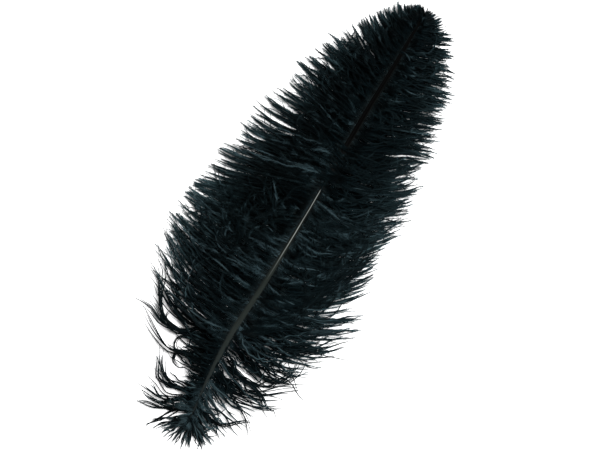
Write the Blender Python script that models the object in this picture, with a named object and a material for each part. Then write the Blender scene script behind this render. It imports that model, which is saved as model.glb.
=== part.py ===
"""An ostrich feather lying on its underside: a horn shaft between two soft vanes of barbs.

X runs from the quill end to the tip, Y to the left of the shaft and Z up from the surface it lies on.
Each vane is a closed solid of the space its barbs fill, out to their tips.
"""

import bpy
import numpy as np

MM = 0.001
GAP = 0.3  # mm between the shaft and each vane, and between the vanes under the shaft
STATION = 4.0  # mm between cross-sections of a vane
SHAFT_SIDES = 14
VANE_END = 154.2  # mm from the middle to the farthest barb tip at either end

# The shaft, as (x, value) in mm. It bows a little to the left near the quill and arches off the surface.
SHAFT_Y = [(-154.2, -7.6), (-133.8, -6.2), (-111, -3.5), (-81, -1.9), (-44, -3.8), (-4, -4.9),
           (40, -5.3), (80, -5.5), (105, -6.1), (141, -6.3), (154.2, -6.3)]
SHAFT_Z = [(-154.2, 2.2), (-133.8, 3.2), (-100, 5.4), (-60, 7.4), (0, 8.6), (60, 8.0),
           (110, 5.8), (140, 3.9), (154.2, 2.6)]
SHAFT_WIDTH = [(-133.8, 1.7), (-111, 3.0), (-90, 4.4), (-62, 5.5), (-44, 5.8), (-20, 5.1), (28, 3.9),
               (60, 3.3), (104, 2.7), (137, 1.7), (149, 0.9)]
SHAFT_DEPTH = 0.85  # of its width

# How far the barb tips reach, as (x, y) in mm. The quill end is ragged, and one deep gap parts the right vane.
LEFT_REACH = [(-154.2, -3.2), (-151.8, 15.6), (-141, 28.8), (-131.4, 36), (-105.6, 38), (-96, 50),
              (-85.8, 63.2), (-76.8, 53), (-55.2, 63), (-32.4, 64.8), (-27.6, 62.4), (-10.2, 57.6),
              (8.4, 55.2), (37.2, 52.8), (49.2, 52.2), (67.8, 46.2), (85.8, 38.5), (109.8, 34.8),
              (121.8, 26.4), (135.6, 18), (147, 8), (154.2, -1.6)]
RIGHT_REACH = [(-154.2, -11.8), (-147, -20), (-132.6, -35), (-124.8, -43.8), (-106.8, -48.5),
               (-96, -54), (-81, -58.8), (-71.4, -52), (-60.6, -63), (-33.6, -64.8), (-28.8, -52),
               (-16, -56), (-5.4, -58.8), (12.6, -54), (40.2, -57.6), (54, -54), (67.2, -51),
               (91.2, -48.6), (102.6, -48), (121.2, -42.6), (139.8, -30.5), (148.8, -21), (154.2, -12.4)]

# The height of the vanes' fullest ridge, and their profile from the shaft (0) to the barb tips (1).
RIDGE_Z = [(-154.2, 4.2), (-140, 6.0), (-115, 8.4), (-80, 11.0), (-30, 13.0), (30, 12.8),
           (90, 10.4), (130, 7.4), (154.2, 4.4)]
PROFILE = [(0.05, 0.94), (0.13, 1.0), (0.25, 0.92), (0.4, 0.73), (0.6, 0.48), (0.8, 0.26), (0.93, 0.11)]
EDGE_Z = 0.9


def smooth(knots, x):
    """A smooth curve through the knots, read at x."""
    xs, ys = np.array(knots, float).T
    slope = np.gradient(ys, xs)
    i = np.clip(np.searchsorted(xs, x) - 1, 0, len(xs) - 2)
    h = xs[i + 1] - xs[i]
    t = (x - xs[i]) / h
    return (
        (2 * t**3 - 3 * t**2 + 1) * ys[i]
        + (t**3 - 2 * t**2 + t) * h * slope[i]
        + (3 * t**2 - 2 * t**3) * ys[i + 1]
        + (t**3 - t**2) * h * slope[i + 1]
    )


def material(name, colour, roughness):
    made = bpy.data.materials.new(name)
    made.use_nodes = True
    shader = made.node_tree.nodes["Principled BSDF"]
    shader.inputs["Base Color"].default_value = (*colour, 1.0)
    shader.inputs["Roughness"].default_value = roughness
    return made


def lofted(name, rings, skin, round_sides):
    """A closed solid through rings of points in mm, given in order along +X and turning from +Y to +Z."""
    count, around = len(rings), len(rings[0])
    faces = [tuple(range(around))[::-1], tuple((count - 1) * around + k for k in range(around))]
    for j in range(count - 1):
        for k in range(around):
            a, b = j * around + k, j * around + (k + 1) % around
            faces.append((a, b, b + around, a + around))
    mesh = bpy.data.meshes.new(name)
    mesh.from_pydata(np.concatenate(rings) * MM, [], faces)
    mesh.polygons.foreach_set("use_smooth", [round_sides and len(f) == 4 for f in faces])
    mesh.materials.append(skin)
    solid = bpy.data.objects.new(name, mesh)
    bpy.context.scene.collection.objects.link(solid)
    return solid


def shaft_radii(x):
    """Half the shaft's width and depth at x. Past its ends this is the narrow slot between the barbs."""
    width = np.interp(x, *np.array(SHAFT_WIDTH).T) if abs(x) > 130 else smooth(SHAFT_WIDTH, x)
    return 0.5 * width, 0.5 * width * SHAFT_DEPTH


def shaft():
    """The horn rod, oval in section, thickest a third of the way up from the quill end."""
    ends = SHAFT_WIDTH[0][0], SHAFT_WIDTH[-1][0]
    turn = np.linspace(0, 2 * np.pi, SHAFT_SIDES, endpoint=False)
    rings = []
    for x in np.linspace(*ends, 60):
        half, deep = shaft_radii(x)
        y, z = smooth(SHAFT_Y, x), smooth(SHAFT_Z, x)
        rings.append(np.stack([np.full(SHAFT_SIDES, x), y + half * np.cos(turn), z + deep * np.sin(turn)], 1))
    return lofted("shaft", rings, material("feather_horn", (0.035, 0.031, 0.027), 0.4), True)


def vane_ring(x, side, reach):
    """One cross-section of a vane: flat underneath, stepped round the shaft and domed over its barbs."""
    y, z = smooth(SHAFT_Y, x), smooth(SHAFT_Z, x)
    half, deep = shaft_radii(x)
    out = np.interp(x, *np.array(reach).T)
    under, beside = y + side * GAP / 2, y + side * (half + GAP)
    low = z - deep - GAP
    ridge = max(smooth(RIDGE_Z, x), z + deep + 0.8)
    points = [(out, 0.0), (out - side * 0.2, EDGE_Z)]
    for u, share in reversed(PROFILE):
        points.append((beside + (out - beside) * u, EDGE_Z + (ridge - EDGE_Z) * share))
    points += [(beside, z + 0.5 * deep), (beside, low), (under, low), (under, 0.0)]
    ring = np.array([(x, a, b) for a, b in points])
    return ring if side > 0 else ring[::-1]


def vane(name, side, reach):
    """A soft vane, as the solid its barbs fill, with a flat underside."""
    count = int(round(2 * VANE_END / STATION)) + 1
    rings = [vane_ring(x, side, reach) for x in np.linspace(-VANE_END, VANE_END, count)]
    return lofted(name, rings, material(name + "_barbs", (0.012, 0.016, 0.017), 0.7), True)


for old in list(bpy.data.objects):
    bpy.data.objects.remove(old, do_unlink=True)
shaft()
vane("left_vane", 1, LEFT_REACH)
vane("right_vane", -1, RIGHT_REACH)
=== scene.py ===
"""A loose ostrich plume, dyed black, lying on its underside on a pale floor and seen from straight above.

X runs from the quill end to the tip, +Y is to the left of the shaft and Z is up. The feather's lengths are in
mm until a mesh is made of them.
"""

import math

import bmesh
import bpy
import numpy as np
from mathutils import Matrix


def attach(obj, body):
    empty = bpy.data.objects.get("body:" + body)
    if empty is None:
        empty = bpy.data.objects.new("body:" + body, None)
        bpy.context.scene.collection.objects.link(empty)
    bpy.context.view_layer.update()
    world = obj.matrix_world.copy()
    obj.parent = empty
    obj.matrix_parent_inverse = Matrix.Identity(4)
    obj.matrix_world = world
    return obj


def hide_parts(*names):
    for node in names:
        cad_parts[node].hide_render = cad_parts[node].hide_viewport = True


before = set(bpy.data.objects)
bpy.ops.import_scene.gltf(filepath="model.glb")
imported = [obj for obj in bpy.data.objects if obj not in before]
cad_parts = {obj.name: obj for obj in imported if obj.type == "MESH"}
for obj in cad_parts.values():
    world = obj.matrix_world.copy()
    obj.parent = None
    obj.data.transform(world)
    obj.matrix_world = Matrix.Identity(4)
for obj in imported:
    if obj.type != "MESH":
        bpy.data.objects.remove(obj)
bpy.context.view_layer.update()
MM = 0.001

# ---------------------------------------------------------------------------------------------------- Shaft
# The rachis and quill: one rod of keratin horn round a pith, grown in one piece with its barbs. It was dyed
# black with them but took the dye badly where it is thickest, so the lower third stays a dull brown-grey.
# Its crown is rounded, with a shallow furrow down each shoulder where the barbs leave it.

SHAFT_AROUND = 28
SHAFT_STEPS = 150
QUILL_ROUNDING = 1.2  # length of the rounded end at the quill
QUILL_STEPS = [0.1, 0.3, 0.6, 0.9]  # extra sections there, from the end
TIP_ROUNDING = 3
TIP_SHORT = 3  # how far the horn ends before its solid does, under the last barbs
LEAST_RIM = 0.02  # keeps the end sections open, as the square of their share of the radius
FURROW_TURN = math.radians(50)  # from the side of the rod to each furrow
FURROW_WIDTH = math.radians(11)
FURROW_DEPTH = 0.16  # of the radius
FURROWS_DEEPEN = (-75, -35)  # from this x to that
GROOVE_WIDTH = math.radians(34)  # of the groove that runs up the middle of the thin end
GROOVE_DEPTH = 0.5
GROOVE_DEEPENS = (25, 60)


def corners(node):
    """A CAD node's vertices in mm."""
    found = np.empty(len(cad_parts[node].data.vertices) * 3)
    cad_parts[node].data.vertices.foreach_get("co", found)
    return found.reshape(-1, 3) / MM


def shaft_lines():
    """The CAD shaft's sections, as rows of x, y, z, half width and half depth, without its pointed ends."""
    found = corners("shaft")
    place = found[:, 0].round(2)
    rows = []
    for x in np.unique(place):
        ring = found[place == x]
        low, high = ring.min(0), ring.max(0)
        if high[1] - low[1] > 0.5:
            rows.append((x, *(low + high)[1:] / 2, *(high - low)[1:] / 2))
    return np.array(rows).T


SHAFT_X, *SHAFT_ROWS = shaft_lines()


def on_shaft(x, row):
    """Reads the shaft at x: row 0 is its y, 1 its z, 2 its half width and 3 its half depth."""
    return np.interp(x, SHAFT_X, SHAFT_ROWS[row])


def ease(x, low, high):
    """Runs smoothly from 0 at low to 1 at high."""
    t = np.clip((x - low) / (high - low), 0, 1)
    return t * t * (3 - 2 * t)


def linear(text):
    """An sRGB hex colour as linear red, green, blue and alpha."""
    parts = [int(text[i : i + 2], 16) / 255 for i in (1, 3, 5)]
    return [c / 12.92 if c <= 0.04045 else ((c + 0.055) / 1.055) ** 2.4 for c in parts] + [1.0]


def add(tree, kind, inputs, stops=(), **settings):
    """Adds a node, sets its settings and a ramp's stops, and links or fills its inputs."""
    made = tree.nodes.new(kind)
    for name, value in settings.items():
        setattr(made, name, value)
    for i, (place, colour) in enumerate(stops):
        if i >= len(made.color_ramp.elements):
            made.color_ramp.elements.new(place)
        made.color_ramp.elements[i].position = place
        made.color_ramp.elements[i].color = linear(colour)
    for name, value in inputs.items():
        if isinstance(value, bpy.types.NodeSocket):
            tree.links.new(value, made.inputs[name])
        else:
            made.inputs[name].default_value = value
    return made


def dyed_horn():
    """Keratin horn, dyed: brown-grey and dull low down, smoother in the middle, matt and black farther up.

    In the middle a thin pale grey line of painted highlight runs along the crown, and farther up a fainter
    painted highlight runs along the two lips of the groove.
    """
    made = bpy.data.materials.new("dyed_keratin_horn")
    made.use_nodes = True
    tree = made.node_tree
    shader = tree.nodes["Principled BSDF"]
    shader.inputs["IOR"].default_value = 1.55
    shader.inputs["Specular IOR Level"].default_value = 0.01
    unwrapped = add(tree, "ShaderNodeUVMap", {}, uv_map="OFBake")
    place = add(tree, "ShaderNodeSeparateXYZ", {0: unwrapped.outputs[0]})
    around, along = place.outputs[0], place.outputs[1]
    dye = add(tree, "ShaderNodeValToRGB", {0: along}, stops=[
        (0.0, "#161a1a"), (0.14, "#1a1e1d"), (0.3, "#191d1b"), (0.37, "#171b19"), (0.44, "#111412"),
        (0.6, "#060707"), (0.7, "#010101"), (1.0, "#010101")])
    # The crown is the top of the rod, a quarter of the way round.
    off_crown = add(tree, "ShaderNodeMath", {0: add(tree, "ShaderNodeMath", {0: around, 1: 0.25},
                    operation="SUBTRACT").outputs[0]}, operation="ABSOLUTE")
    crown = add(tree, "ShaderNodeMapRange", {0: off_crown.outputs[0], 1: 0.006, 2: 0.024, 3: 1.0, 4: 0.0},
                interpolation_type="SMOOTHSTEP")
    # A painted highlight along the crown, in the middle of the rod's length.
    crown_highlight_span = add(tree, "ShaderNodeValToRGB", {0: along}, stops=[
        (0.34, "#000000"), (0.39, "#909090"), (0.44, "#f0f0f0"), (0.56, "#f0f0f0"), (0.6, "#000000")])
    # Fine grain along the rod, 0.25 mm across and 12 mm long.
    where = add(tree, "ShaderNodeMapping", {0: add(tree, "ShaderNodeTexCoord", {}).outputs["Object"],
                "Scale": (80, 4000, 4000)})
    grain = add(tree, "ShaderNodeTexNoise", {"Vector": where.outputs[0], "Scale": 1.0, "Detail": 3.0})
    crown_highlight = add(tree, "ShaderNodeMath", {0: crown.outputs[0], 1: crown_highlight_span.outputs[0]}, operation="MULTIPLY")
    # Higher up, a fainter painted highlight runs along the two lips of the groove.
    lip_highlight_band = add(tree, "ShaderNodeValToRGB", {0: off_crown.outputs[0]}, stops=[
        (0.15, "#000000"), (0.165, "#ffffff"), (0.175, "#ffffff"), (0.19, "#000000")])
    upper = add(tree, "ShaderNodeValToRGB", {0: along}, stops=[
        (0.6, "#000000"), (0.7, "#ffffff"), (0.9, "#a0a0a0"), (1.0, "#000000")])
    lip_highlight = add(tree, "ShaderNodeMath", {0: lip_highlight_band.outputs[0], 1: upper.outputs[0]}, operation="MULTIPLY")
    patchy = add(tree, "ShaderNodeMapRange", {0: grain.outputs[0], 1: 0.3, 2: 0.7, 3: 0.55, 4: 1.1})
    crown_highlight_shown = add(tree, "ShaderNodeMath", {0: crown_highlight.outputs[0], 1: patchy.outputs[0]}, operation="MULTIPLY",
                use_clamp=True)
    # The painted highlight on the lips is mixed into the dye here.
    dye_and_lip_highlight = add(tree, "ShaderNodeMix", {0: lip_highlight.outputs[0], 6: dye.outputs[0], 7: linear("#0e1110")},
               data_type="RGBA")
    # Here the painted highlight along the crown, broken up by the grain, is mixed in as pale grey horn.
    horn_and_highlights = add(tree, "ShaderNodeMix", {0: crown_highlight_shown.outputs[0], 6: dye_and_lip_highlight.outputs[2], 7: linear("#6c706d")},
               data_type="RGBA")
    streak = add(tree, "ShaderNodeMapRange", {0: grain.outputs[0], 1: 0.3, 2: 0.7, 3: 0.75, 4: 1.2})
    grained_horn = add(tree, "ShaderNodeMix", {0: 1.0, 6: horn_and_highlights.outputs[2], 7: streak.outputs[0]}, data_type="RGBA",
               blend_type="MULTIPLY")
    tree.links.new(grained_horn.outputs[2], shader.inputs["Base Color"])
    dull = add(tree, "ShaderNodeValToRGB", {0: along}, stops=[
        (0.25, "#cdcdcd"), (0.42, "#9a9a9a"), (0.56, "#9a9a9a"), (0.66, "#d8d8d8")])
    tree.links.new(dull.outputs[0], shader.inputs["Roughness"])
    return made


def shaft_ring(x, low_end, high_end):
    """The rod's section at x: furrowed at the shoulders low down and grooved along the crown higher up."""
    turn = np.linspace(0, 2 * np.pi, SHAFT_AROUND, endpoint=False)
    furrow = sum(np.exp(-(((turn - at) / FURROW_WIDTH) ** 2)) for at in (FURROW_TURN, np.pi - FURROW_TURN))
    upper = ease(x, *GROOVE_DEEPENS)
    depth = FURROW_DEPTH * ease(x, *FURROWS_DEEPEN) * (1 - upper)
    groove = GROOVE_DEPTH * upper * np.exp(-(((turn - np.pi / 2) / GROOVE_WIDTH) ** 2))
    near_quill = (low_end + QUILL_ROUNDING - x) / QUILL_ROUNDING
    near_tip = (x - high_end + TIP_ROUNDING) / TIP_ROUNDING
    rim = math.sqrt(max(1 - max(near_quill, near_tip, 0) ** 2, LEAST_RIM))
    radius = rim * (1 - depth * furrow - groove)
    y = on_shaft(x, 0) + on_shaft(x, 2) * radius * np.cos(turn)
    z = on_shaft(x, 1) + on_shaft(x, 3) * radius * np.sin(turn)
    return np.stack([np.full(SHAFT_AROUND, x), y, z], 1) * MM


def build_shaft():
    """Draws the rod out of one ring, section by section, and closes both ends."""
    bm = bmesh.new()
    ends = SHAFT_X[0], SHAFT_X[-1] - TIP_SHORT
    places = ends[0] + (ends[1] - ends[0]) * np.linspace(0, 1, SHAFT_STEPS)
    places = np.sort(np.concatenate([places, ends[0] + np.array(QUILL_STEPS)]))
    ring = bmesh.ops.create_circle(bm, segments=SHAFT_AROUND, radius=1)["verts"]
    edges = list(bm.edges)
    first = list(edges)
    for i, x in enumerate(places):
        if i:
            made = bmesh.ops.extrude_edge_only(bm, edges=edges)["geom"]
            ring = [v for v in made if isinstance(v, bmesh.types.BMVert)]
            edges = [e for e in made if isinstance(e, bmesh.types.BMEdge) and set(e.verts) <= set(ring)]
        for v, co in zip(ring, shaft_ring(x, *ends)):
            v.co = co
    bmesh.ops.contextual_create(bm, geom=first)
    bmesh.ops.contextual_create(bm, geom=edges)
    bmesh.ops.recalc_face_normals(bm, faces=bm.faces)
    bm.verts.index_update()
    # The extrusion makes its faces in no fixed order, so they are put in that of their corners.
    bm.faces.sort(key=lambda face: sum(v.index**2 for v in face.verts))
    unwrapped = bm.loops.layers.uv.new("OFBake")
    last = SHAFT_AROUND - 1
    for face in bm.faces:
        face.smooth = True
        turned = {v.index % SHAFT_AROUND for v in face.verts}
        for loop in face.loops:
            # Round the rod the last strip ends at 1, where the first starts at 0.
            k = loop.vert.index % SHAFT_AROUND
            k += SHAFT_AROUND * (k == 0 and last in turned and len(turned) == 2)
            x = loop.vert.co.x / MM
            loop[unwrapped].uv = (k / SHAFT_AROUND, (x - ends[0]) / (ends[1] - ends[0]))
    mesh = bpy.data.meshes.new("horn_shaft")
    bm.to_mesh(mesh)
    bm.free()
    mesh.materials.append(dyed_horn())
    piece = bpy.data.objects.new("horn_shaft", mesh)
    bpy.context.scene.collection.objects.link(piece)
    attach(piece, "root")
    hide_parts("shaft")


build_shaft()
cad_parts["shaft"].hide_render = True

# ------------------------------------------------------------------------------------------------ Left vane
# Several hundred barbs of keratin in one row up the left of the shaft, with their hair-fine barbules. Damp
# from the dye bath, neighbours dried together into small locks with pointed ends. The upper ones stand
# straight out, the lower ones sweep forward, and those round the quill are sparse, long and wavy.

# Guide barbs: root x, tip x, tip y, and the lean of root and tip from square to the shaft towards the tip.
LEFT_GUIDES = [
    (-133.4, -154.0, -5, -88, -90), (-132.6, -153.0, 2, -80, -82), (-131.8, -150, 8, -62, -64),
    (-130.6, -146, 15, -48, -38), (-128.8, -142, 27, -38, -30), (-125.4, -132, 34, -34, 0),
    (-121.8, -124, 35, -30, 15), (-117, -112, 36, -25, 30), (-111, -104, 30, -18, 45),
    (-103, -99, 25, -10, 50), (-95, -92, 35, -8, 32), (-89.5, -84, 52, -9, 30), (-82, -68, 58, -6, 34),
    (-74, -57, 61, -4, 40), (-63.5, -47, 62.6, -3, 36), (-53.5, -40, 62.8, 0, 24), (-38.5, -28, 63.4, 2, 17),
    (-24.5, -19, 62, 0, 8), (-8, -12.5, 60.5, -6, 0), (4, -9, 59, -16, -10), (13, -6.5, 58, -28, -20),
    (15.5, -3.5, 57.5, -24, -12), (18.5, 1, 57, -18, -10), (22, 6.5, 56.5, -12, -8), (27.5, 15, 56, -8, -5),
    (32.5, 23, 55, -3, -2), (39, 33, 54, 3, 5), (47, 46, 52.4, 7, 8), (60, 67, 46.8, 12, 10),
    (75.5, 88, 43, 16, 12), (95.5, 110, 35.2, 19, 20),
    (106, 121.5, 26.5, 24, 32), (122, 135, 18.5, 32, 42), (132, 142, 12, 45, 50), (140, 148.3, 4, 62, 62),
    (146, 151.3, -3, 78, 80),
]
# How the left barbs behave from the quill up: root x, the share of their length that stays in the vane before
# they part into locks, how fluffy they are, how far they stray in degrees, how high they lie in the vane, how
# many of them are long, how long the others are, how much paler or darker they are painted, which is partly
# their dye and partly painted shade, and how curly they are.
LEFT_HABIT = [
    (-134, 0.05, 0.05, 14, 1.0, 0.75, 0.5, 0.5, 0), (-126, 0.1, 0.1, 15, 1.0, 0.4, 0.35, 0.6, 0),
    (-120, 0.2, 0.3, 16, 1.0, 0.15, 0.27, 0.3, 0), (-112, 0.3, 0.4, 15, 1.0, 0.1, 0.38, 0.1, 0),
    (-104, 0.3, 0.4, 14, 1.0, 0.1, 0.55, -0.1, 1.2), (-95, 0.3, 0.4, 12, 1.0, 0.15, 0.6, -0.1, 1.2),
    (-85, 0.3, 0.35, 10, 1.0, 0.4, 0.42, 0, 1.2), (-75, 0.5, 0.4, 10, 1.0, 0.8, 0.6, 0.3, 0.8),
    (-54, 0.8, 0.9, 7, 1.0, 0.95, 0.6, 0.05, 0.3), (-36, 0.8, 0.95, 8, 0.9, 1.0, 0.6, -0.15, 0.6),
    (-22, 0.85, 1.0, 9, 0.95, 1.0, 0.6, 0.3, 1), (-6, 0.85, 1.0, 7, 0.7, 1.0, 0.6, 0.1, 0.8),
    # From x 7 to 23.5 the barbs lie under the upper locks and are painted dark as the shadow in the crease.
    (7, 0.85, 1.0, 4, 0.5, 1.0, 0.6, -0.3, 0.3), (14, 0.9, 1.0, 3, 0.3, 1.0, 0.6, -1.1, 0),
    (19, 0.9, 1.0, 3, 0.9, 1.0, 0.6, -1.5, 0), (23.5, 0.9, 1.0, 3, 1.1, 1.0, 0.6, -1.2, 0),
    (27, 0.9, 1.0, 4, 1.2, 1.0, 0.6, 0.05, 0), (31, 0.9, 1.0, 5, 1.2, 1.0, 0.6, 0.15, 0),
    # Towards the tip the barbs are painted darker, as painted shade.
    (45, 0.7, 1.0, 9, 1.05, 1.0, 0.6, -0.1, 0.3), (70, 0.8, 1.0, 11, 1.0, 1.0, 0.6, -0.45, 0.4),
    (154, 0.75, 0.9, 12, 1.0, 1.0, 0.6, -0.85, 0.5),
]
# How far round the rod the barbs are rooted: x, and the share of the rod's half width.
ROOT_SIDE = [(-134, 0.4), (-100, 0.4), (-65, 0.55), (-30, 0.55), (30, 0.4), (55, 0.95), (150, 0.95)]
# How high a barb lies: its place from root to tip, and the share of the height of the vane's ridge.
BARB_DOME = [(0.13, 1.0), (0.25, 0.93), (0.4, 0.75), (0.6, 0.5), (0.8, 0.29), (1.0, 0.14)]
BARBS_PER_VANE = 880
BARB_REACH = 1.06  # of the guides, because a barb that wanders ends sooner
BARB_POINTS = 18
BARB_HALF_DEPTH = 0.13
BARB_LOWEST = 0.5  # height of the lowest layer of barbs
BARB_GAP = 0.3  # that any barb keeps over the floor
ROD_GAP = 0.4  # that a barb keeps over the rod where it crosses
LOCK_BARBS = (3, 7)  # the fewest barbs in a lock, and one more than the most
SLIPPED_BARBS = 45
VANE_WIDTH = 60  # from the shaft to the edge, in round figures
BARBULE_WIDTH = 0.15  # about five times a real one's, so that as many show
BARBULES_PER_MM = 8.1  # a real barb has more, which would be too fine to show
BARBULE_GAP = 0.1  # that its tip keeps over the floor
PIECES_PER_VANE = 4


def ridge(x):
    """How high the vanes' CAD solids stand at x."""
    return np.interp(x, RIDGE_X, RIDGE_Z)


def ridge_lines():
    """The x and the height of every section of the vanes' CAD solids, without those at their ends."""
    found = np.concatenate([corners("left_vane"), corners("right_vane")])
    place = found[:, 0].round(1)
    xs = np.unique(place)
    tops = np.array([found[place == x, 2].max() for x in xs])
    return xs[tops > 2], tops[tops > 2]


RIDGE_X, RIDGE_Z = ridge_lines()


def table(rows, x):
    """Reads every column of a table at x, which its first column holds."""
    columns = np.array(rows, float).T
    return [np.interp(x, columns[0], column) for column in columns[1:]]


def unit(vectors):
    """The vectors at a length of 1."""
    return vectors / np.maximum(np.linalg.norm(vectors, axis=-1, keepdims=True), 1e-9)


def plan(guides, side, root, t):
    """The barb rooted at root, at t of its way to the vane's edge, seen from above as x and y."""
    tip_x, tip_y, lean_root, lean_tip = table(guides, root)
    foot = table(ROOT_SIDE, root)[0]
    start = np.stack([root, on_shaft(root, 0) + side * foot * on_shaft(root, 2)], -1)
    end = np.stack([tip_x, tip_y], -1)
    arm = 0.4 * np.linalg.norm(end - start, axis=-1, keepdims=True)

    def heading(lean):
        """The direction that leans so many degrees towards the tip."""
        return np.stack([np.sin(np.radians(lean)), side * np.cos(np.radians(lean))], -1)

    a, b = start + arm * heading(lean_root), end - arm * heading(lean_tip)
    t = t[..., None]
    return (1 - t) ** 3 * start + 3 * (1 - t) ** 2 * t * a + 3 * (1 - t) * t**2 * b + t**3 * end


def bend(xy, turn):
    """Turns each stretch of each line by so many radians and joins them up again."""
    step = np.diff(xy, axis=1)
    run = np.linalg.norm(step, axis=2)
    way = np.arctan2(step[..., 1], step[..., 0]) + turn
    moved = np.stack([np.cos(way), np.sin(way)], -1) * run[..., None]
    return np.concatenate([xy[:, :1], xy[:, :1] + np.cumsum(moved, 1)], 1)


def drift(xy, size, rng):
    """A smooth random field over the plan: seven waves, about 1 strong together and about size across."""
    swell = 2 * np.pi / size * rng.uniform(0.6, 1.4, 7)
    course, beat = rng.uniform(0, 2 * np.pi, (2, 7))
    phase = xy[..., :1] * swell * np.cos(course) + xy[..., 1:2] * swell * np.sin(course) + beat
    return np.sin(phase).sum(-1) * 0.53


def settle(xy, t, root, layer, lift):
    """Adds the height: from just inside the rod, up over the domed vane and down to the floor at its edge."""
    foot = table(ROOT_SIDE, root)[0]
    start = (on_shaft(root, 1) + on_shaft(root, 3) * 0.9 * np.sqrt(1 - foot**2))[:, None]
    dome = ridge(xy[..., 0]) * np.interp(t, *np.array(BARB_DOME).T)
    z = start + (BARB_LOWEST + layer * (dome - BARB_LOWEST) - start) * ease(t, 0, 0.16) + lift
    over = on_shaft(xy[..., 0], 1) + on_shaft(xy[..., 0], 3) + ROD_GAP
    crossing = np.abs(xy[..., 1] - on_shaft(xy[..., 0], 0)) < on_shaft(xy[..., 0], 2)
    crossing[:, :2] = False
    z = np.where(crossing, np.maximum(z, over), z)
    return np.concatenate([xy, np.maximum(z, BARB_GAP)[..., None]], -1)


def grow_barbs(guides, habit, side, root, rng):
    """Barbs along one side of the shaft, as (barb, point, xyz), with their fluff, dye with painted shade,
    faded end and width.
    """
    count = len(root)
    lock_of = np.repeat(np.arange(count), rng.integers(*LOCK_BARBS, count))[:count]
    middle = (np.bincount(lock_of, root) / np.bincount(lock_of))[lock_of]
    locks = lock_of.max() + 1
    under = np.arange(count) % 5 % 2 == 1  # two in five lie low and fluffy, outside any lock
    held, fluff, stray, lie, long, short, pale, curly = table(habit, root)
    # Locks differ a little in length and barbs more. Some locks are short, and so are bare barbs that lie low.
    length = BARB_REACH * (1 - 0.1 * rng.random(locks)[lock_of] ** 2) * (1 - 0.3 * rng.random(count) ** 2.5)
    length *= np.where(rng.random(locks)[lock_of] < long, 1.0, short * rng.uniform(0.7, 1.1, count))
    length *= np.where(under, 0.55 + 0.45 * ease(fluff, 0.1, 0.6), 1.0)
    share = np.linspace(0, 1, BARB_POINTS)[None]
    t = share * length[:, None]
    # Bare barbs cling together almost from the root, and fluffy ones only towards the end.
    held = (held * rng.uniform(0.8, 1.2, locks)[lock_of])[:, None]
    cling = 0.12 + 0.6 * (1 - fluff[:, None]) ** 1.5
    gather = np.maximum(0.36 * (1.3 - held) * ease(share, held, 1.0), cling * ease(share, 0.05, 0.4))
    gather = gather * ~under[:, None]
    xy = plan(guides, side, root[:, None] + (middle - root)[:, None] * gather, t)
    # Three layers of the vane drift over one another, each barb bows and crimps, and some curl at the end.
    mid = (xy[:, 1:] + xy[:, :-1]) / 2
    layer_of = np.where(under, 3, rng.integers(0, 3, locks)[lock_of])
    flow = np.stack([size * drift(mid, 34, rng) + 0.3 * drift(mid, 13, rng) for size in (0.6, 0.6, 0.6, 0.2)])
    flow = flow[layer_of, np.arange(count)]
    bow, crimp = rng.normal(0, 0.6, (count, 1)), 1.3 * rng.normal(0, 1, (count, 1))
    beat = rng.random((count, 1)) + share[:, 1:] * rng.uniform(1.5, 4.5, (count, 1))
    own = (bow + crimp * np.sin(2 * np.pi * beat)) * (np.where(under, 0.4, 1.05) + 0.25 * curly)[:, None]
    curl = -side * rng.uniform(-0.8, 2.4, count) * (rng.random(count) < 0.1 + 0.25 * curly) * (1 + 0.6 * curly)
    curl = (curl * ~under)[:, None]
    xy = bend(xy, np.radians(stray)[:, None] * (flow * ease(share[:, 1:], 0, 0.3) + own)
              + curl * ease(share[:, 1:], 0.45, 1))
    low, high = rng.uniform(0.03, 0.3, count), (layer_of + rng.uniform(0, 1, count)) / 3 + 0.15
    layer = np.where(under, low, high) * lie
    lift = rng.exponential(0.8, count)[:, None] * ease(share, 0.5, 1.0)
    # A few locks and a few barbs took the dye badly, and what lies deep in the vane is painted darker as
    # painted shade.
    dye = pale + (0.18 - 0.6 * np.minimum(pale, 0)) * rng.random(locks)[lock_of] ** 3 + 0.4 * (layer - 0.6)
    dye += (0.4 + 0.55 * fluff) * rng.random(count) ** 3
    end = rng.uniform(0.8, 1.0, count)
    width = np.where(under, 0.2 + 0.75 * fluff, 0.52 - 0.16 * fluff) * rng.uniform(0.8, 1.2, count)
    return settle(xy, t, root, layer[:, None], lift), fluff * np.where(under, 1.0, 0.4), dye, end, width


def grow_crossings(guides, side, count, rng):
    """Long barbs that have slipped out of the vane and lie over it, bowed mostly towards the tip."""
    root = rng.uniform(-75, guides[-1][0] - 10, count)
    first, run = rng.uniform(0, 0.4, (count, 1)), rng.uniform(0.35, 0.75, (count, 1))
    bridge = rng.random(count) < 0.3  # these reach over the rod itself, where it dips out of sight
    root[bridge] = rng.uniform(26, 54, bridge.sum())
    first[bridge] = rng.uniform(-0.14, -0.04, (bridge.sum(), 1))
    t = first + np.linspace(0, 1, BARB_POINTS)[None] * run
    xy = plan(guides, side, root[:, None] + 0 * t, t)
    share = np.linspace(0, 1, BARB_POINTS - 1)[None]
    turn = rng.normal(0, 0.25, (count, 1)) - side * share**1.5 * rng.uniform(-0.4, 1.2, (count, 1))
    return over_the_vane(bend(xy, turn), -0.1, 0.4, 0.3, rng)


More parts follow.
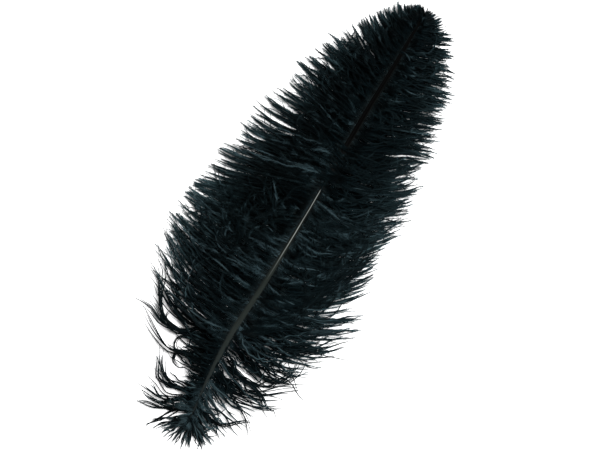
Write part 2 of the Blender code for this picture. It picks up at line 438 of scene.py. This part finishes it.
def through(path, along):
    """A smooth line through a path's points, read at each share of its length."""
    points = np.array(path, float)
    run = np.concatenate([[0], np.cumsum(np.linalg.norm(np.diff(points, axis=0), axis=1))])
    slope = np.gradient(points, run, axis=0)
    along = along * run[-1]
    i = np.clip(np.searchsorted(run, along) - 1, 0, len(run) - 2)
    gap = (run[i + 1] - run[i])[:, None]
    u = (along - run[i])[:, None] / gap
    return ((1 + 2 * u) * (1 - u) ** 2 * points[i] + u * (1 - u) ** 2 * gap * slope[i]
            + u * u * (3 - 2 * u) * points[i + 1] + u * u * (u - 1) * gap * slope[i + 1])


def aside(xy):
    """The directions square to a line, along it."""
    ahead = unit(np.gradient(xy, axis=-2))
    return np.stack([-ahead[..., 1], ahead[..., 0]], -1)


def lay_strays(paths, rng):
    """Single barbs that wander well away from the vane, a few together along each path."""
    lines = []
    share = np.linspace(0, 1, BARB_POINTS)
    for path in paths:
        for _ in range(rng.integers(3, 6)):
            xy = through(path, share * rng.uniform(0.8, 1.02))
            apart = rng.normal(0, 0.8) * np.sin(np.pi * share * rng.uniform(0.8, 2))
            apart += rng.normal(0, 1.6) * share**2
            xy += aside(xy) * apart[:, None]
            arch = rng.uniform(1, 5) * np.sin(np.pi * share)
            z = on_shaft(xy[0, 0], 1) * (1 - ease(share, 0, 0.3)) + arch + 0.6
            lines.append(np.concatenate([xy, z[:, None]], 1))
    count = len(lines)
    dye = rng.uniform(-0.5, 0.05, count)
    return np.array(lines), np.full(count, 0.05), dye, np.full(count, 0.9), np.full(count, 0.42)


def lay_sweeps(paths, rng):
    """Tresses of barbs that have swept over their neighbours and lie on top.

    Each row is the number of barbs in a tress and the points of its path.
    """
    share = np.linspace(0, 1, BARB_POINTS)
    xy = []
    for number, *path in paths:
        for _ in range(number):
            line = through(path, rng.uniform(0, 0.1) + share * rng.uniform(0.6, 0.92))
            wave = rng.normal(0, 0.9) * np.sin(2 * np.pi * (rng.random() + share * rng.uniform(0.6, 1.6)))
            xy.append(line + aside(line) * (rng.normal(0, 1.5) + rng.normal(0, 4.5) * share + wave)[:, None])
    return over_the_vane(np.array(xy), 0.1, 0.45, 0.36, rng)


def grow_curls(side, patches, rng):
    """Barb ends that curl up through the vane.

    A patch is its lowest and highest x, its nearest and farthest y, the length of its curls and their number.
    """
    xy = []
    for low, high, near, far, run, count in patches:
        start = np.stack([rng.uniform(low, high, count), side * rng.uniform(near, far, count)], -1)
        lean = rng.normal(-0.2, 0.7, (count, 1))
        turn = lean - side * np.linspace(0, 1, BARB_POINTS - 1)[None] * rng.uniform(-1.6, 3.4, (count, 1))
        share = np.linspace(0, 1, BARB_POINTS)[None, :, None]
        straight = start[:, None] + share * run * rng.uniform(0.6, 1.3, (count, 1, 1)) * (0, side)
        xy.append(bend(straight, turn))
    return over_the_vane(np.concatenate(xy), 0.16, 0.5, 0.3, rng)


def over_the_vane(xy, pale, fluff, half_width, rng):
    """Lays loose barbs on top of the vane, as lines with their fluff, dye, faded end and half width."""
    count = len(xy)
    out = np.abs(xy[..., 1] - on_shaft(xy[..., 0], 0)) / VANE_WIDTH
    layer, lift = rng.uniform(0.9, 1.1, (count, 1)), 0.3 + rng.exponential(0.5, (count, 1))
    lines = settle(xy, out, xy[:, 0, 0], layer, lift)
    dye = pale + 0.45 * rng.random(count) ** 2
    return lines, np.full(count, fluff), dye, np.full(count, 0.6), np.full(count, half_width)


def strands(lines, half_width, roll):
    """Each barb as a closed three-sided rod with a crest, widest near its root and drawn out to a point."""
    count, points = lines.shape[:2]
    share = np.linspace(0, 1, points)[None, :, None]
    taper = (0.55 + 0.45 * ease(share, 0, 0.2)) * (1 - share**4) ** 0.8 + 0.05
    ahead = unit(np.gradient(lines, axis=1))
    across = unit(np.cross(ahead, (0.0, 0.0, 1.0)))
    above = np.cross(across, ahead)
    turn = roll[:, None, None]
    wide = (across * np.cos(turn) + above * np.sin(turn)) * half_width[:, None, None] * taper
    deep = (above * np.cos(turn) - across * np.sin(turn)) * BARB_HALF_DEPTH * taper
    ring = np.stack([lines + wide - 0.4 * deep, lines + deep, lines - wide - 0.4 * deep], 2).reshape(-1, 3)
    # Each barb has its points' rings of three corners one after another.
    start = (np.arange(count)[:, None] * points + np.arange(points - 1)[None]).reshape(-1, 1) * 3
    k = np.arange(3)[None]
    near, far = start + k, start + (k + 1) % 3
    sides = np.concatenate([np.stack([near, far, far + 3], -1), np.stack([near, far + 3, near + 3], -1)])
    root = np.arange(count)[:, None] * points * 3
    ends = np.concatenate([root + np.array([[2, 1, 0]]), root + (points - 1) * 3 + np.array([[0, 1, 2]])])
    return ring, np.concatenate([sides.reshape(-1, 3), ends])


def barbules(lines, tone_and_painted_light, fluff, end, rng):
    """Barbules in two rows along each barb, lying forward, each a sliver that ends in a point."""
    run = np.linalg.norm(np.diff(lines, axis=1), axis=2).sum(1)
    number = np.maximum((run * BARBULES_PER_MM).astype(int), 1)
    barb = np.repeat(np.arange(len(lines)), number)
    place = np.arange(len(barb)) - np.repeat(np.cumsum(number) - number, number) + rng.random(len(barb))
    share = 0.01 + 0.98 * place / number[barb]
    at = share * (lines.shape[1] - 1)
    i = np.minimum(at.astype(int), lines.shape[1] - 2)
    here, there = lines[barb, i], lines[barb, i + 1]
    base = here + (there - here) * (at - i)[:, None]
    ahead = unit(there - here)
    across = unit(np.cross(ahead, (0.0, 0.0, 1.0)))
    above = np.cross(across, ahead)
    # A fluffy barb is soft all along, and a bare one only near its root.
    soft = (fluff[barb] + (1 - fluff[barb]) * 0.7 * (1 - ease(share, 0.1, 0.4)))[:, None]
    soft = soft * (1 - 0.3 * ease(share, 0.8, 1.0))[:, None]
    column = (len(barb), 1)
    roll = rng.normal(0, 0.8, column)
    out = (across * np.cos(roll) + above * np.sin(roll)) * rng.choice([-1.0, 1.0], column)
    # Soft barbules stand farther out and are longer than the ones that cling to a bare barb.
    lean = np.radians(rng.uniform(6, 20, column) + soft**0.5 * rng.uniform(0, 36, column))
    way = ahead * np.cos(lean) + out * np.sin(lean)
    breadth = out * np.cos(lean) - ahead * np.sin(lean)
    size = (0.8 + 2.6 * soft) * rng.uniform(0.5, 1.25, column)
    size *= (1 - 0.4 * share**3)[:, None]
    tip = base + way * size
    tip[:, 2] = np.maximum(tip[:, 2], BARBULE_GAP)
    half = breadth * BARBULE_WIDTH / 2 * (0.85 + 0.4 * soft)
    points = np.stack([base - half, base + half, tip], 1)
    return points, np.clip(tone_and_painted_light[barb, i] + rng.normal(0, 0.12, len(barb)), 0, 1), share * end[barb]


def unwrapped_strands(tone_and_painted_light, end, points):
    """Where each strand vertex lies on the dye map: across by its tone with painted light and shade, up by its
    place along the barb.
    """
    u = 0.02 + 0.44 * tone_and_painted_light[:, :, None] + np.array([-0.004, 0, 0.004])[None, None]
    v = 0.02 + 0.96 * np.linspace(0, 1, points)[None, :, None] * end[:, None, None] + 0 * u
    return np.stack([np.broadcast_to(u, v.shape), v], -1).reshape(-1, 2)


def unwrapped_barbules(tone_and_painted_light, share):
    """Where each barbule's two feet and its tip lie on the dye map."""
    u = 0.52 + 0.44 * tone_and_painted_light[:, None] + np.array([-0.005, 0.005, 0])[None]
    v = 0.02 + 0.94 * share[:, None] + np.array([0, 0, 0.016])[None]
    return np.stack([u, v], -1).reshape(-1, 2)


def dyed_down():
    """Ostrich down, dyed black: matt fibres with a faint blue-green cast, paler where the ends are thin, with
    painted shade and painted sheen laid in from the map.
    """
    made = bpy.data.materials.new("dyed_ostrich_down")
    made.use_nodes = True
    tree = made.node_tree
    shader = tree.nodes["Principled BSDF"]
    shader.inputs["IOR"].default_value = 1.55
    shader.inputs["Specular IOR Level"].default_value = 0.045
    shader.inputs["Specular Tint"].default_value = linear("#8ed8f0")
    unwrapped = add(tree, "ShaderNodeUVMap", {}, uv_map="OFBake")
    place = add(tree, "ShaderNodeSeparateXYZ", {0: unwrapped.outputs[0]})
    # The left half of the map is the barbs and the right half their barbules, each from dark to pale, which
    # carries their dye together with the painted shade and painted sheen.
    dye = add(tree, "ShaderNodeValToRGB", {0: place.outputs[0]}, stops=[
        (0.0, "#010101"), (0.18, "#030404"), (0.32, "#0b1113"), (0.48, "#273235"), (0.52, "#010101"),
        (0.62, "#030505"), (0.74, "#0b1112"), (0.86, "#162124"), (1.0, "#303f44")])
    # Up the map runs the barb, which is paler at its root and where its end thins out.
    thin = add(tree, "ShaderNodeValToRGB", {0: place.outputs[1]}, stops=[
        (0.0, "#0d0f0f"), (0.03, "#080a0a"), (0.07, "#000000"), (0.6, "#030404"), (0.8, "#111a1c"),
        (0.92, "#2a383b"), (1.0, "#6c8286")])
    faded = add(tree, "ShaderNodeMix", {0: 1.0, 6: dye.outputs[0], 7: thin.outputs[0]}, data_type="RGBA",
                blend_type="ADD")
    tree.links.new(faded.outputs[2], shader.inputs["Base Color"])
    matt = add(tree, "ShaderNodeMapRange", {0: place.outputs[0], 1: 0.48, 2: 0.52, 3: 0.45, 4: 0.75})
    tree.links.new(matt.outputs[0], shader.inputs["Roughness"])
    return made


DOWN = dyed_down()


def fur_piece(name, node, lines, width, fluff, tone_and_painted_light, end, rng):
    """One mesh of barbs with their barbules, standing for the CAD node that holds their space."""
    rod, rod_faces = strands(lines, width, rng.normal(0, 0.3, len(lines)))
    down, down_tone_and_painted_light, down_share = barbules(lines, tone_and_painted_light, fluff, end, rng)
    down_faces = len(rod) + np.arange(len(down) * 3).reshape(-1, 3)
    points = np.concatenate([rod, down.reshape(-1, 3)]) * MM
    faces = np.concatenate([rod_faces, down_faces])
    places = np.concatenate([unwrapped_strands(tone_and_painted_light, end, lines.shape[1]),
                             unwrapped_barbules(down_tone_and_painted_light, down_share)])
    mesh = bpy.data.meshes.new(name)
    mesh.vertices.add(len(points))
    mesh.vertices.foreach_set("co", points.ravel())
    mesh.loops.add(faces.size)
    mesh.loops.foreach_set("vertex_index", faces.ravel().astype(np.int32))
    mesh.polygons.add(len(faces))
    mesh.polygons.foreach_set("loop_start", np.arange(0, faces.size, 3, dtype=np.int32))
    mesh.uv_layers.new(name="OFBake").data.foreach_set("uv", places[faces.ravel()].astype(np.float32).ravel())
    mesh.update(calc_edges=True)
    mesh.materials.append(DOWN)
    piece = bpy.data.objects.new(name, mesh)
    bpy.context.scene.collection.objects.link(piece)
    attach(piece, "root")
    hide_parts(node)


def grow_vane(side_name, side, guides, habit, crowd, strays, sweeps, curls, seed):
    """A whole vane, cut into pieces from the quill to the tip so that none has too many triangles."""
    rng = np.random.default_rng(seed)
    along = (np.arange(BARBS_PER_VANE) + rng.uniform(0, 1, BARBS_PER_VANE)) / BARBS_PER_VANE
    root = np.interp(along, *np.array(crowd).T)
    parts = [grow_barbs(guides, habit, side, root, rng), grow_crossings(guides, side, SLIPPED_BARBS, rng),
             lay_strays(strays, rng), lay_sweeps(sweeps, rng), grow_curls(side, curls, rng)]
    lines, fluff, dye, end, width = (np.concatenate(found) for found in zip(*parts))
    order = np.argsort(lines[:, 0, 0])
    # A painted sheen: a barb is painted paler where it turns its flat side up to the light, so its tone comes
    # and goes along it.
    tone_and_painted_light = dye[:, None] + 0.4 * drift(lines[..., :2], 7, rng) * rng.random((len(lines), 1))
    tone_and_painted_light = np.clip(tone_and_painted_light, 0, 1)
    for i, part in enumerate(np.array_split(order, PIECES_PER_VANE)):
        fur_piece(f"{side_name}_barbs_{i + 1}", f"{side_name}_vane", lines[part], width[part], fluff[part],
                  tone_and_painted_light[part], end[part], rng)
    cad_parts[f"{side_name}_vane"].hide_render = True


# How closely the barbs are set: the share of them that is rooted before an x, and that x.
LEFT_CROWD = [(0, -133.4), (0.05, -130.4), (0.17, -95), (0.49, 8), (0.6, 30), (1, 146)]
# Paths of the barbs that wander off round the quill, each from its root.
LEFT_STRAYS = [
    [(-83.3, -1.1), (-88, 19.8), (-91.3, 37.2), (-86.6, 49), (-85.9, 63.4)],
    [(-84, -1), (-89.9, 18.7), (-91.1, 35.3), (-85.1, 46.4), (-81, 56.9)],
    [(-93, -2), (-99, 14.1), (-103.5, 26.1), (-100.2, 36.4), (-95.4, 45.5), (-88.5, 56)],
    [(-89, -2), (-89.5, 12), (-86.9, 23.2), (-82.6, 36), (-74.9, 46.7), (-65.4, 54.3)],
    [(-84, -1), (-83.5, 10), (-80.9, 21.1), (-77, 32.3), (-72.2, 42), (-65.6, 48.6)],
    [(-93.4, -2), (-93.4, 6.9), (-91.7, 18.3), (-94.2, 23.8), (-99.6, 23.4), (-101.9, 18), (-97.5, 11.5)],
    [(-102, -2), (-102.5, 7), (-101, 16), (-103.5, 21), (-108, 20.5), (-110, 15.5), (-106, 10)],
    [(-112, -4), (-119.7, 5.6), (-120.7, 18.2), (-115.3, 25.5), (-105.3, 31.7)],
    [(-117.3, -3.4), (-121.1, 6.9), (-122.4, 15.1), (-122.1, 22.9), (-113.5, 28.8), (-109, 37)],
    [(-120, -3.6), (-123.6, 3.3), (-128.8, 14.9), (-125.8, 23.1), (-124, 33.4)],
    [(-121.3, -3.6), (-124.6, 2.6), (-132.9, 14.7), (-132.5, 26.3), (-131.9, 35.1)],
    [(-124, -3.8), (-128.4, 2), (-135.5, 11.8), (-137.5, 22.7), (-141.5, 28.9)],
    [(-129.5, 1), (-144.3, 10.4), (-148.6, 13.8), (-151.9, 15.8)],
    [(-79.4, 15), (-82.5, 17.9), (-83.5, 26), (-80.2, 35.3), (-76.4, 43.6), (-71.4, 52), (-67.6, 61.6)],
    [(-79.4, 10.2), (-83.6, 17.4), (-91.2, 26.9), (-88, 38.2), (-78, 46.3), (-65.7, 52.8), (-58.8, 60)],
    [(-88.3, 9.9), (-90.2, 19.2), (-89.3, 32.2), (-87.4, 37.3), (-82.2, 36.6), (-78.2, 34)],
]
# Tresses over both sides of the crease and one below it, with the number of barbs in each.
LEFT_SWEEPS = [
    (8, (27, -3), (27, 12), (26, 28), (24, 42), (21, 55)),
    (8, (26, -3), (27, 14), (29, 30), (31.5, 47)),
    (6, (22, -3), (19, 18), (14, 36), (9.8, 55)),
    (5, (6, -3), (0, 9), (-9, 17), (-20, 21), (-30, 20)),
]
# Patches of curls: lowest and highest x, nearest and farthest from the shaft, length and number.
LEFT_CURLS = [(-30, 12, 4, 22, 18, 40), (-45, -5, 16, 44, 18, 44), (30, 112, 4, 20, 12, 14)]

grow_vane("left", 1, LEFT_GUIDES, LEFT_HABIT, LEFT_CROWD, LEFT_STRAYS, LEFT_SWEEPS, LEFT_CURLS, 11)

# ----------------------------------------------------------------------------------------------- Right vane
# The same row of barbs up the right of the shaft. Here the middle barbs droop back first and then curve
# strongly forward, and a lock has parted from its neighbours below the middle, which leaves a notch.

RIGHT_GUIDES = [
    (-133.4, -154.0, -7, -88, -90), (-132.6, -151, -14, -66, -58), (-131.6, -146, -22, -56, -48),
    (-129.6, -141.6, -25, -50, -28), (-126, -135, -28, -44, -10), (-113, -128, -36, -38, -25),
    (-107, -120, -41, -34, -14), (-101.5, -107, -49, -30, 12), (-96.5, -98, -54, -28, 30),
    (-90.5, -90, -56.5, -27, 36), (-85.5, -84, -58, -24, 40), (-80, -77, -59.5, -22, 44),
    (-71.5, -61, -62.4, -20, 32), (-66.5, -54, -63, -18, 46), (-57, -38, -67.5, -15, 35),
    (-51.5, -32, -68, -12, 34), (-47.5, -28.5, -65.5, -12, 38), (-46.3, -31, -50, -12, 40),
    (-43, -28, -46, -14, 46), (-41, -16, -59, -20, 54), (-32, -5.5, -58.4, -15, 55),
    (-22, 3, -55, -12, 52), (-14, 11, -54.5, -10, 52), (0.5, 24.5, -55.5, -10, 52),
    (10, 35.5, -58, -10, 52), (21, 45.5, -56.5, -8, 48), (32, 55, -55.5, -6, 45), (47.5, 68, -50.4, -5, 38),
    (59.5, 75, -52.4, 0, 20), (76, 91, -48.6, 5, 25), (93, 106, -46.4, 8, 20), (109, 121, -42.4, 8, 18),
    (120.5, 129.6, -35, 9, 6), (130, 139.6, -29.4, 16, 12), (137.5, 146.4, -21.5, 34, 40),
    (143.5, 149.8, -13, 60, 66), (146.5, 151.4, -7, 78, 82),
]
RIGHT_HABIT = [
    (-134, 0.05, 0.05, 12, 1.0, 0.85, 0.7, 0.5, 0), (-112, 0.1, 0.05, 12, 1.0, 0.55, 0.55, 0.6, 0),
    (-104, 0.3, 0.05, 13, 1.0, 0.5, 0.5, 0.5, 1.2), (-88, 0.4, 0.1, 13, 1.0, 0.6, 0.55, 0.2, 1.4),
    (-80, 0.6, 0.2, 13, 1.0, 0.7, 0.6, 0.12, 1.2), (-73, 0.9, 0.5, 13, 1.0, 0.95, 0.6, 0.2, 1),
    (-64, 0.9, 0.6, 12, 1.0, 1.0, 0.6, 0.25, 0.6), (-52, 0.9, 0.7, 10, 1.0, 1.0, 0.6, 0.25, 0.4),
    (-47, 0.8, 0.9, 3, 1.0, 1.0, 0.6, 0.05, 0), (-40, 0.5, 0.8, 5, 0.95, 1.0, 0.6, 0.1, 0.5),
    (-30, 0.5, 0.8, 6, 1.0, 1.0, 0.6, 0.2, 1), (10, 0.6, 0.9, 10, 1.0, 1.0, 0.6, 0.2, 0.6),
    (60, 0.6, 0.9, 12, 1.0, 1.0, 0.6, -0.7, 0.6), (154, 0.6, 0.9, 13, 1.0, 1.0, 0.6, -0.3, 0.6),
]
RIGHT_CROWD = [(0, -133.4), (0.08, -128), (0.12, -112), (0.19, -76), (1, 146.5)]
RIGHT_STRAYS = [
    [(-82.9, -7), (-87.8, -24.8), (-91, -33.8), (-89.9, -40.2), (-85.5, -44.6), (-79, -46.2), (-71.7, -46.4)],
    [(-68.6, -12), (-76.2, -21.1), (-81.8, -23.7), (-88.9, -24.9), (-96.3, -20.6)],
    [(-100, -6), (-109.9, -22.9), (-116, -34.2), (-124.8, -43.5)],
    [(-125, -8), (-126.9, -22.8), (-118.5, -33.5), (-112.5, -42.8)],
    [(-95, -8), (-101.3, -37.7), (-106.6, -45.7), (-106.4, -48.4)],
    [(-75.5, -4.9), (-80.7, -22.3), (-86.6, -35.6), (-85.2, -43.8), (-77.2, -46.7), (-66.2, -44.8)],
    [(-80.2, -4.5), (-82.4, -8.9), (-88.8, -21.6), (-90.5, -31.6), (-88.6, -38.8), (-76, -46.1)],
    [(-69.5, -7), (-67.1, -19.5), (-65.5, -27.9), (-68, -33.9), (-65.9, -40.2), (-51.5, -56.2)],
    [(-99.6, -4), (-101.8, -17.1), (-99.2, -32.3), (-89, -47.3), (-81.8, -58.4)],
    [(-102.3, -4), (-104.6, -20.3), (-100.5, -36), (-91.7, -48.9), (-87.9, -54.3)],
    [(-104.4, -4), (-106.9, -11), (-106.5, -27.4), (-101.5, -42.6), (-95.6, -52.8)],
    [(-108, -5), (-108.8, -28.7), (-105.6, -42), (-96.7, -53.4)],
]
# Tresses below the middle, which droop back from the shaft and then curve forward over the vane.
RIGHT_SWEEPS = [
    (10, (-75, -6), (-60, -21), (-46, -31), (-35, -29), (-26, -22), (-17, -13)),
    (12, (-66, -6), (-55, -24), (-41, -35), (-28, -38), (-14, -34), (-2, -26)),
    (12, (-54, -6), (-40, -28), (-25, -39), (-10, -44), (6, -44), (24, -33)),
    (8, (-40, -6), (-29, -30), (-14, -42), (4, -50), (20, -52)),
]
RIGHT_CURLS = [(-30, 25, 8, 30, 20, 30), (30, 125, 4, 28, 14, 18)]

grow_vane("right", -1, RIGHT_GUIDES, RIGHT_HABIT, RIGHT_CROWD, RIGHT_STRAYS, RIGHT_SWEEPS, RIGHT_CURLS, 23)

# -------------------------------------------------------------------------------------- Floor, light, camera
# Stage only: a floor of matt white paper, one large soft light past the tip and to the right, and white walls
# all round. The camera hangs straight over the feather, turned so that the quill is low and to the left.

FLOOR_HALF = 4.0  # in metres, like the sizes below
LIGHT_PLACE = (0.75, -0.49, 1.5)
LIGHT_ACROSS = 1.2
LIGHT_WATTS = 85
ROOM_STRENGTH = 0.3
LEAN_IN_VIEW = math.radians(60)  # of the shaft, from level
VIEW_WIDTH = 0.360
VIEW_HEIGHT_ABOVE = 1.2
VIEW_SHIFT = (0.0043, -0.0025)  # to the right and up
SENSOR_MM = 36.0


def build_floor():
    """A sheet of uncoated paper, which scatters the light evenly and shows next to no gloss."""
    bm = bmesh.new()
    bmesh.ops.create_grid(bm, x_segments=1, y_segments=1, size=FLOOR_HALF)
    mesh = bpy.data.meshes.new("floor")
    bm.to_mesh(mesh)
    bm.free()
    paper = bpy.data.materials.new("matt_white_paper")
    paper.use_nodes = True
    shader = paper.node_tree.nodes["Principled BSDF"]
    shader.inputs["Base Color"].default_value = linear("#f7f7f7")
    shader.inputs["Roughness"].default_value = 0.9
    shader.inputs["Specular IOR Level"].default_value = 0.06
    mesh.materials.append(paper)
    floor = bpy.data.objects.new("floor", mesh)
    bpy.context.scene.collection.objects.link(floor)


def build_light():
    """A round soft light, turned to the middle of the feather."""
    lamp = bpy.data.lights.new("soft_key", "AREA")
    lamp.shape = "DISK"
    lamp.size = LIGHT_ACROSS
    lamp.energy = LIGHT_WATTS
    made = bpy.data.objects.new("soft_key", lamp)
    made.location = LIGHT_PLACE
    toward = -np.array(LIGHT_PLACE) / np.linalg.norm(LIGHT_PLACE)
    made.rotation_euler = (math.acos(-toward[2]), 0, math.atan2(toward[1], toward[0]) - math.pi / 2)
    bpy.context.scene.collection.objects.link(made)


def build_room():
    """White walls all round, which fill the shadows evenly."""
    room = bpy.data.worlds.new("white_room")
    room.use_nodes = True
    room.node_tree.nodes["Background"].inputs[0].default_value = linear("#ffffff")
    room.node_tree.nodes["Background"].inputs[1].default_value = ROOM_STRENGTH
    bpy.context.scene.world = room
    bpy.context.scene.view_settings.view_transform = "Standard"


def build_camera():
    """The camera over the feather, whose lens is as long as the width of the view asks."""
    optics = bpy.data.cameras.new("camera")
    optics.sensor_width = SENSOR_MM
    optics.lens = SENSOR_MM * VIEW_HEIGHT_ABOVE / VIEW_WIDTH
    optics.clip_end = 20
    camera = bpy.data.objects.new("camera", optics)
    camera.rotation_euler = (0, 0, -LEAN_IN_VIEW)
    right = np.array([math.cos(LEAN_IN_VIEW), -math.sin(LEAN_IN_VIEW)])
    up = np.array([math.sin(LEAN_IN_VIEW), math.cos(LEAN_IN_VIEW)])
    camera.location = (*(right * VIEW_SHIFT[0] + up * VIEW_SHIFT[1]), VIEW_HEIGHT_ABOVE)
    bpy.context.scene.collection.objects.link(camera)
    bpy.context.scene.camera = camera


build_floor()
build_light()
build_room()
build_camera()
